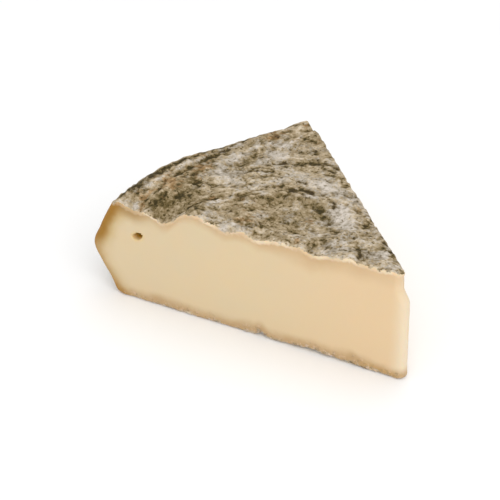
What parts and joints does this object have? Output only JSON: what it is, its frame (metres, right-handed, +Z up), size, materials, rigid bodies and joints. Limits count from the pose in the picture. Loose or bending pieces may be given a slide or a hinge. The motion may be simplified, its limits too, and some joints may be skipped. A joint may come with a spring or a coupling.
{
  "type": "saint-nectaire cheese wedge",
  "caption": "Wedge of semi-soft pressed cheese with a mottled grey-brown natural rind, cream cut faces and a bulged outer wall.",
  "frame": {"origin": "on the surface the wedge lies on, under the middle of its bounding box", "axes": "+Z up out of the rind; +X along the front cut towards the narrow tip; -Y out of the front cut, so the wheel's outer wall is at -X"},
  "size_m": [0.1161, 0.0863, 0.0409],
  "materials": {
    "cheese": "cream semi-soft paste on the cuts, matt grey-brown mottled natural rind on top, underside and wall"
  },
  "bodies": {
    "root": {"cheese_wedge": "cheese"}
  },
  "joints": []
}
